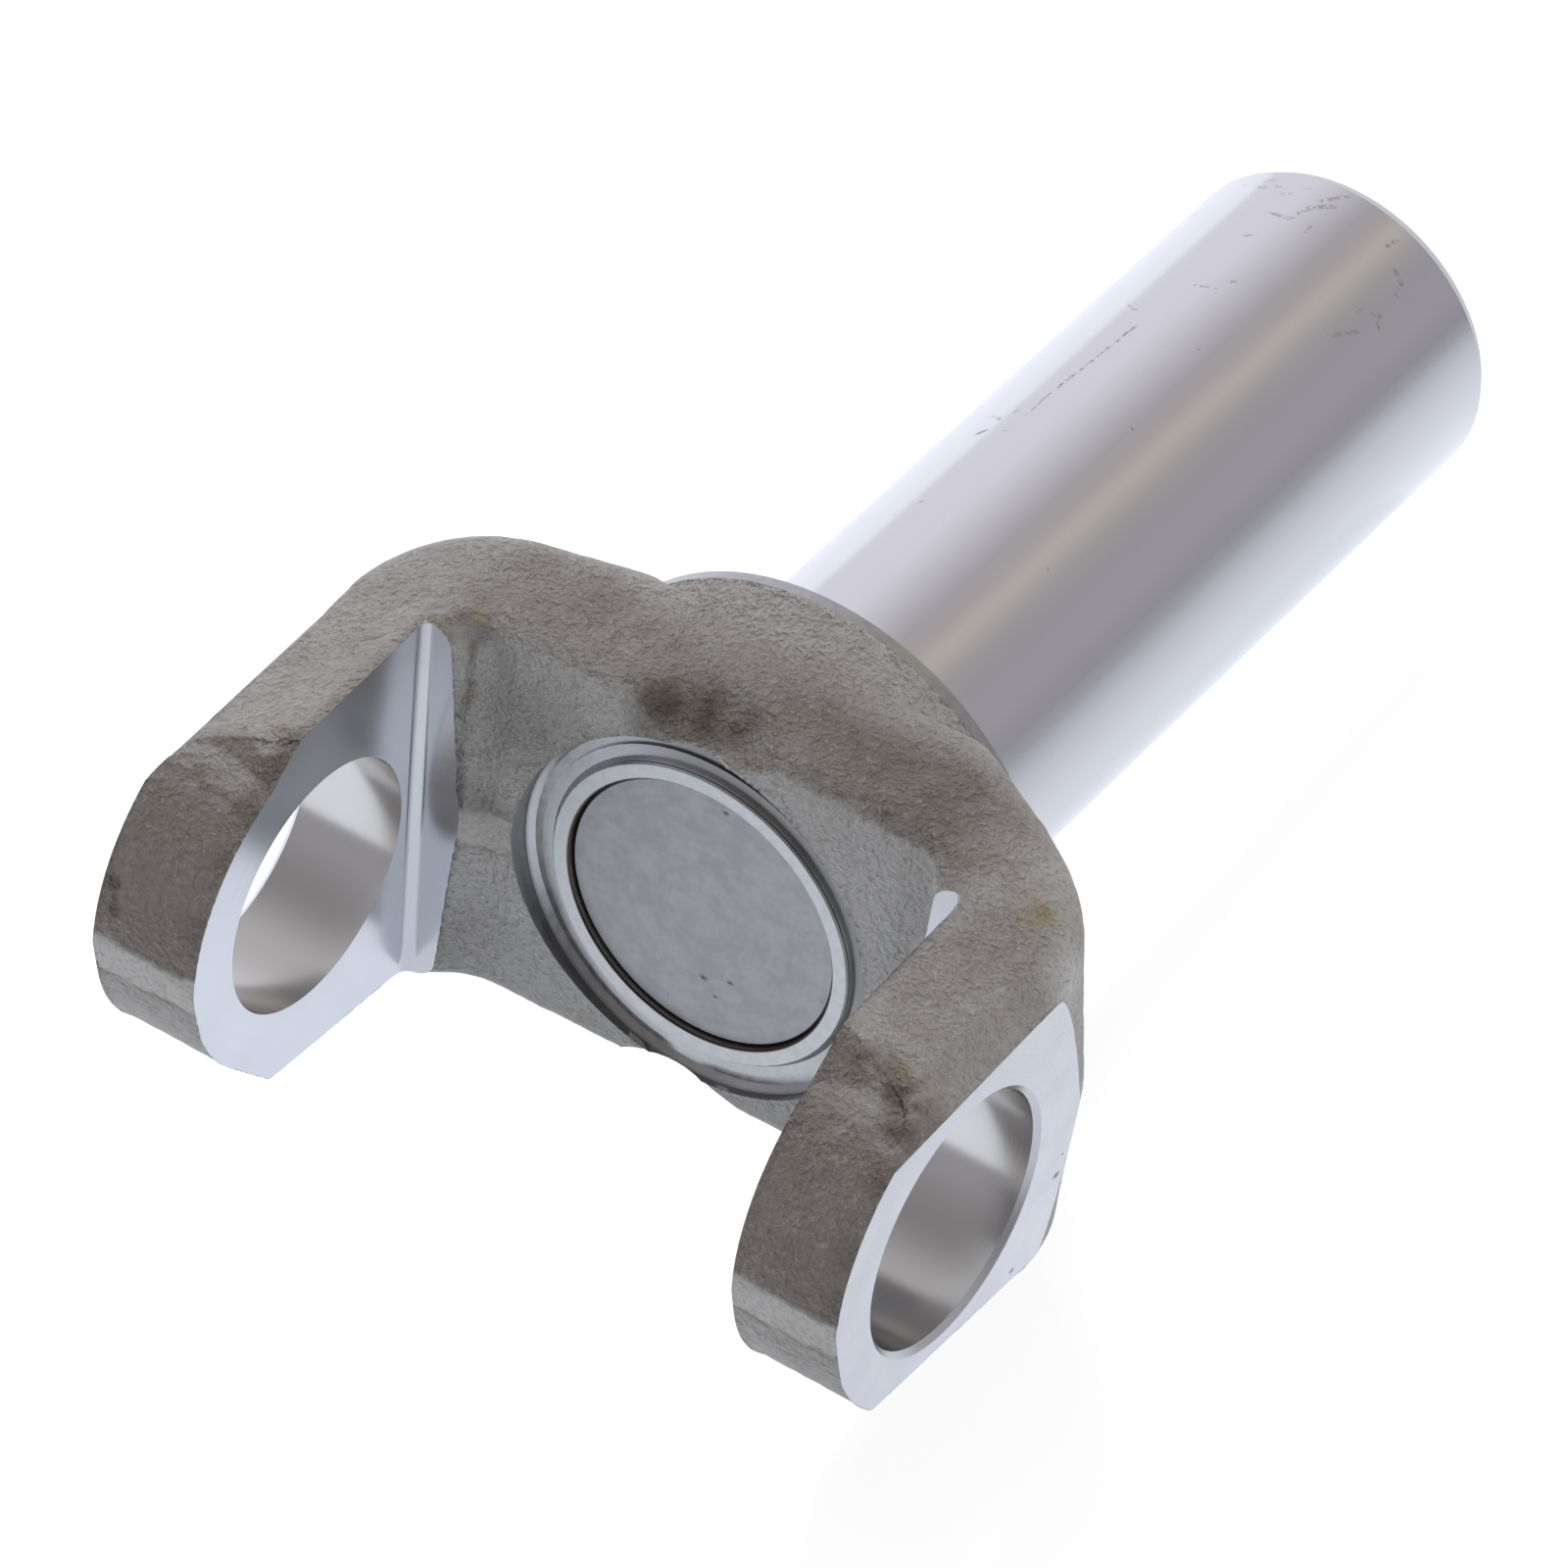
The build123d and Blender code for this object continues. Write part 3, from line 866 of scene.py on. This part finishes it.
def pressed_disc():
    """The plug: dull cold-pressed sheet with pits, faint arcs and a dark line round its edge."""
    g = Finish("pressed_disc")
    x, y, z = g.axes(g.place)
    cloud = g.noise(2.2, 4, roughness=0.6)
    pits = g.range(g.noise(0.8, 1), 0.78, 0.83, 0.0, 0.6)
    for place, size in plug_pits:
        pits = g.math("MAXIMUM", pits, g.spot(place, size, (1.3, 1, 0.8)))
    tone = g.mix(g.range(cloud, 0.35, 0.65), colour(0.32, 0.32, 0.328), colour(0.37, 0.37, 0.378))
    arcs = g.noise(0.7, 2, vector=around(g, (x, z), y))
    tone = g.mix(g.range(arcs, 0.35, 0.7, 0.0, 0.1), tone, colour(0.5, 0.5, 0.51))
    from_axis = g.length(x, z)
    rim = g.range(from_axis, (plug_r - 0.45) * MM, (plug_r - 0.15) * MM)
    tone = g.mix(rim, tone, colour(0.06, 0.05, 0.042))
    g.set(
        Base_Color=g.mix(pits, tone, colour(0.1, 0.085, 0.07)),
        Metallic=0.85,
        Roughness=0.5,
        Normal=g.bump(g.math("SUBTRACT", g.noise(0.35, 3), pits), 0.02),
    )
    return g.material


# surroundings


def floor_frame():
    """The plane that the part lies on: hub rim and barrel end touch it."""
    turn = Matrix.Rotation(floor_tilt, 4, "X")
    foot = Vector((0, hub_back_y, -hub_r)) * MM
    return Matrix.Translation(foot) @ turn


# how white the floor shows in the metal: by the part, at most and far off, and how fast it
# fades, in metres; its glow, the share of it that the camera sees, and half its width
floor_near = 1.3
floor_most = 1.12
floor_far = 0.36
floor_reach = 0.09
floor_glow = 1.04
floor_share = 0.88
floor_half = 3.0


def make_floor():
    """A plain white floor that keeps the part's shadow and also shows white in the metal."""
    half = floor_half
    mesh = bpy.data.meshes.new("floor")
    corners = [(-half, -half, 0), (half, -half, 0), (half, half, 0), (-half, half, 0)]
    mesh.from_pydata(corners, [], [(0, 1, 2, 3)])
    floor = bpy.data.objects.new("floor", mesh)
    floor.matrix_world = floor_frame()
    bpy.context.scene.collection.objects.link(floor)
    material = bpy.data.materials.new("white_floor")
    material.use_nodes = True
    b = Nodes(material.node_tree)
    shader = b.tree.nodes["Principled BSDF"]
    shader.inputs["Base Color"].default_value = colour(0.86, 0.86, 0.87)
    shader.inputs["Roughness"].default_value = 0.9
    shader.inputs["Specular IOR Level"].default_value = 0.1
    path = b.node("LightPath")
    across = b.axes(b.node("TexCoord").outputs["Object"])
    aside = b.math("MAXIMUM", across[0], 0.0)
    fade = b.math("DIVIDE", floor_near, b.math("ADD", b.math("DIVIDE", aside, floor_reach), 1.0))
    fade = b.math("MAXIMUM", fade, floor_far)
    fade = b.math("MAXIMUM", b.math("MINIMUM", fade, floor_most), path.outputs["Is Camera Ray"])
    glow = b.node("Emission")
    glow.inputs["Strength"].default_value = floor_glow
    white = b.mix(path.outputs["Is Camera Ray"], colour(0.87, 0.92, 1.0), colour(1, 1, 1))
    b.feed(glow.inputs["Color"], b.scale(white, fade))
    seen = b.math("MAXIMUM", path.outputs["Is Camera Ray"], path.outputs["Is Glossy Ray"])
    mix = b.node("MixShader")
    b.feed(mix.inputs[0], b.math("MULTIPLY", seen, floor_share))
    b.feed(mix.inputs[1], shader.outputs[0])
    b.feed(mix.inputs[2], glow.outputs[0])
    b.feed(b.tree.nodes["Material Output"].inputs["Surface"], mix.outputs[0])
    mesh.materials.append(material)


# how bright the studio is on the camera's side, as a share of the far side
studio_front = 0.5

# how much of the studio's light reaches unpolished faces, where the lamps do the rest
studio_soft = 0.88

# the studio around the part: degrees from straight up towards +X, and the light from there
studio_walls = (
    (-180, (0.98, 0.98, 1.0)),
    (-125, (0.95, 0.96, 1.0)),
    (-100, (0.84, 0.84, 0.92)),
    (-50, (0.86, 0.85, 0.93)),
    (-32, (0.70, 0.69, 0.72)),
    (-10, (0.47, 0.465, 0.48)),
    (2, (0.50, 0.46, 0.44)),
    (13, (0.60, 0.56, 0.50)),
    (28, (0.45, 0.43, 0.42)),
    (40, (0.40, 0.395, 0.41)),
    (66, (0.42, 0.41, 0.43)),
    (88, (0.36, 0.355, 0.37)),
    (100, (0.42, 0.42, 0.45)),
    (125, (0.75, 0.77, 0.82)),
    (180, (0.98, 0.98, 1.0)),
)


def make_world():
    """A white backdrop for the camera, and the studio's soft walls and ceiling for the rest."""
    world = bpy.data.worlds.new("studio")
    world.use_nodes = True
    bpy.context.scene.world = world
    b = Nodes(world.node_tree)
    x, y, z = b.axes(b.node("TexCoord").outputs["Generated"])
    angle = b.math("ARCTAN2", x, z)
    turn = b.node("MapRange")
    turn.inputs["From Min"].default_value = -math.pi
    turn.inputs["From Max"].default_value = math.pi
    b.feed(turn.inputs["Value"], angle)
    ramp = b.node("ValToRGB")
    b.feed(ramp.inputs[0], turn.outputs[0])
    elements = ramp.color_ramp.elements
    elements.remove(elements[-1])
    for index, (degrees, tone) in enumerate(studio_walls):
        place = (degrees + 180) / 360
        element = elements[0] if index == 0 else elements.new(place)
        element.position = place
        element.color = colour(*tone)
    dim = b.range(y, -0.55, 0.35, studio_front, 1.0)
    walls = b.scale(ramp.outputs[0], dim)
    path = b.node("LightPath")
    soft = b.range(path.outputs["Is Diffuse Ray"], 0.0, 1.0, 1.0, studio_soft)
    walls = b.scale(walls, soft)
    shown = b.mix(path.outputs["Is Camera Ray"], walls, colour(1, 1, 1))
    b.feed(b.tree.nodes["Background"].inputs["Color"], shown)


def lamp(name, place, target, size, power):
    """A large soft panel, in metres and watts."""
    data = bpy.data.lights.new(name, "AREA")
    data.shape = "SQUARE"
    data.size = size
    data.energy = power
    panel = bpy.data.objects.new(name, data)
    panel.location = place
    aim = Vector(target) - Vector(place)
    panel.rotation_mode = "QUATERNION"
    panel.rotation_quaternion = aim.to_track_quat("-Z", "Y")
    panel.visible_glossy = False
    bpy.context.scene.collection.objects.link(panel)


# soft panels: name, place, aim and size in metres, and watts
lamps = (
    ("key", (-0.7, 0.5, 1.6), (0, 0.04, 0), 0.5, 25),
    ("top", (-0.15, -0.55, 1.6), (0, 0.0, 0), 0.4, 4),
    ("fill", (0.9, -1.2, 1.1), (0, 0.02, 0), 1.2, 6),
    ("side", (1.4, 0.2, 0.12), (0.04, 0.015, 0.015), 0.5, 12),
)


def make_camera():
    """The camera that the photograph was taken with, as it was fitted to the part."""
    a, e, t = (math.radians(v) for v in (azimuth, elevation, roll))
    back = Vector((math.sin(a) * math.cos(e), -math.cos(a) * math.cos(e), math.sin(e)))
    level = Vector((math.cos(a), math.sin(a), 0))
    upright = back.cross(level)
    right = math.cos(t) * level + math.sin(t) * upright
    up = math.cos(t) * upright - math.sin(t) * level
    place = (back * camera_distance - right * centre_x - up * centre_y) * MM
    data = bpy.data.cameras.new("camera")
    data.sensor_width = sensor
    data.lens = focal_px / photo_px * sensor
    data.clip_start = 0.05
    data.clip_end = 20
    camera = bpy.data.objects.new("camera", data)
    camera.matrix_world = Matrix(
        (
            (right.x, up.x, back.x, place.x),
            (right.y, up.y, back.y, place.y),
            (right.z, up.z, back.z, place.z),
            (0, 0, 0, 1),
        )
    )
    bpy.context.scene.collection.objects.link(camera)
    bpy.context.scene.camera = camera


def main():
    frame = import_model()
    visible_forging(frame["nodes"]["yoke_forging"])
    plug = frame["nodes"]["expansion_plug"]
    plug.data.materials.clear()
    plug.data.materials.append(pressed_disc())
    make_floor()
    make_world()
    for settings in lamps:
        lamp(*settings)
    make_camera()
    bpy.context.scene.view_settings.view_transform = "Standard"


main()
